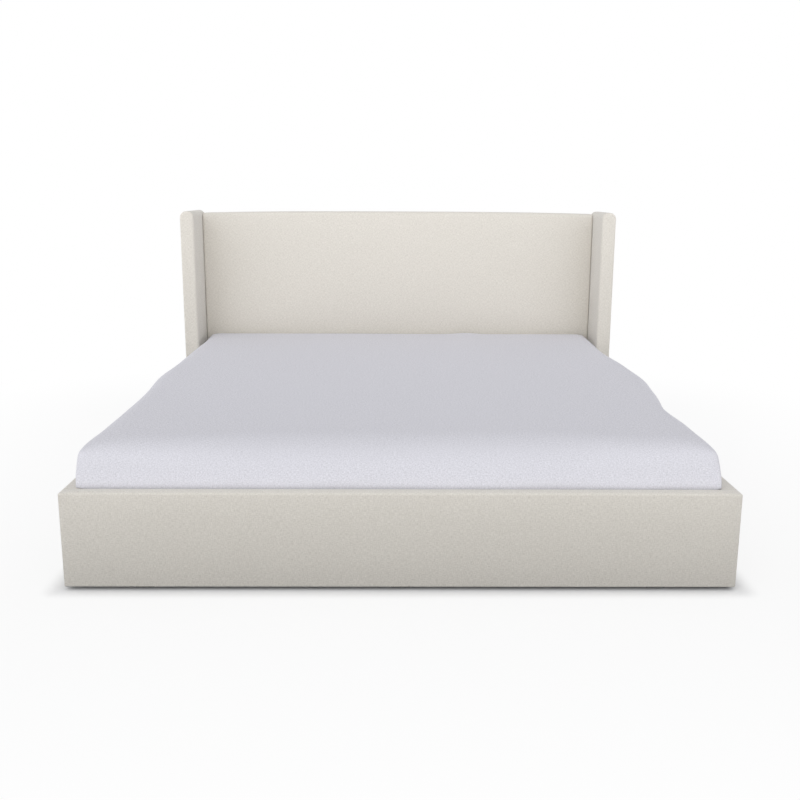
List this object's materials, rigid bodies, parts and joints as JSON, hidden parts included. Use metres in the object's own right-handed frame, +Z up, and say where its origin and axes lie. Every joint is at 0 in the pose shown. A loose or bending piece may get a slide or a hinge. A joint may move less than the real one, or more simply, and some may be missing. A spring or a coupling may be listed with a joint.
{
  "type": "upholstered bed",
  "caption": "Upholstered wing-back bed: padded headboard, wings and low rails, bowed slats on a centre beam with levelling feet, and a mattress under a tucked-in cover.",
  "frame": {"origin": "on the floor, under the middle of the bed's bounding box", "axes": "+X to the right as seen from the foot, +Y from the foot to the head, +Z up"},
  "size_m": [2.08, 2.1876, 1.098],
  "materials": {
    "upholstery_fabric": "matt plain weave",
    "bed_linen": "smooth soft cotton",
    "mattress_ticking": "quilted knit",
    "back_cloth": "thin spun cloth",
    "foam": "open-cell foam",
    "slat_birch": "lacquered laminated birch",
    "plywood": "raw plywood",
    "pine": "planed softwood",
    "black_plastic": "moulded",
    "painted_steel": "satin powder coat",
    "zinc_steel": "zinc plated"
  },
  "bodies": {
    "frame": {"beam_hanger_foot": "painted_steel", "beam_hanger_head": "painted_steel", "centre_beam": "painted_steel", "centre_leg_front": "painted_steel", "centre_leg_middle": "painted_steel", "centre_leg_rear": "painted_steel", "corner_bracket_left": "zinc_steel", "corner_bracket_right": "zinc_steel", "foot_rail_board": "plywood", "foot_rail_cover": "upholstery_fabric", "foot_rail_pad": "foam", "headboard_back_cloth": "back_cloth", "headboard_bottom_timber": "pine", "headboard_centre_stud": "pine", "headboard_cover": "upholstery_fabric", "headboard_face_panel": "plywood", "headboard_middle_timbers": "pine", "headboard_pad": "foam", "headboard_stile_left": "pine", "headboard_stile_right": "pine", "headboard_top_timber": "pine", "hook_plate_left": "zinc_steel", "hook_plate_right": "zinc_steel", "ledger_left": "pine", "ledger_right": "pine", "rail_glides": "black_plastic", "receiver_plate_left": "zinc_steel", "receiver_plate_right": "zinc_steel", "side_rail_left_board": "plywood", "side_rail_left_cover": "upholstery_fabric", "side_rail_left_pad": "foam", "side_rail_right_board": "plywood", "side_rail_right_cover": "upholstery_fabric", "side_rail_right_pad": "foam", "slat_holders_centre": "black_plastic", "slat_holders_left": "black_plastic", "slat_holders_right": "black_plastic", "slats_left": "slat_birch", "slats_right": "slat_birch", "wing_left_core": "pine", "wing_left_cover": "upholstery_fabric", "wing_left_pad": "foam", "wing_right_core": "pine", "wing_right_cover": "upholstery_fabric", "wing_right_pad": "foam"},
    "mattress": {"mattress": "mattress_ticking", "bed_cover": "bed_linen"},
    "foot_front": {"levelling_foot_front": "zinc_steel"},
    "foot_middle": {"levelling_foot_middle": "zinc_steel"},
    "foot_rear": {"levelling_foot_rear": "zinc_steel"}
  },
  "joints": [
    {"name": "mattress_lift", "type": "slide", "parent": "frame", "child": "mattress", "axis": [0, 0, 1], "range_m": [0, 0.9]},
    {"name": "foot_front_level", "type": "slide", "parent": "frame", "child": "foot_front", "axis": [0, 0, -1], "range_m": [0, 0.015]},
    {"name": "foot_middle_level", "type": "slide", "parent": "frame", "child": "foot_middle", "axis": [0, 0, -1], "range_m": [0, 0.015]},
    {"name": "foot_rear_level", "type": "slide", "parent": "frame", "child": "foot_rear", "axis": [0, 0, -1], "range_m": [0, 0.015]}
  ]
}
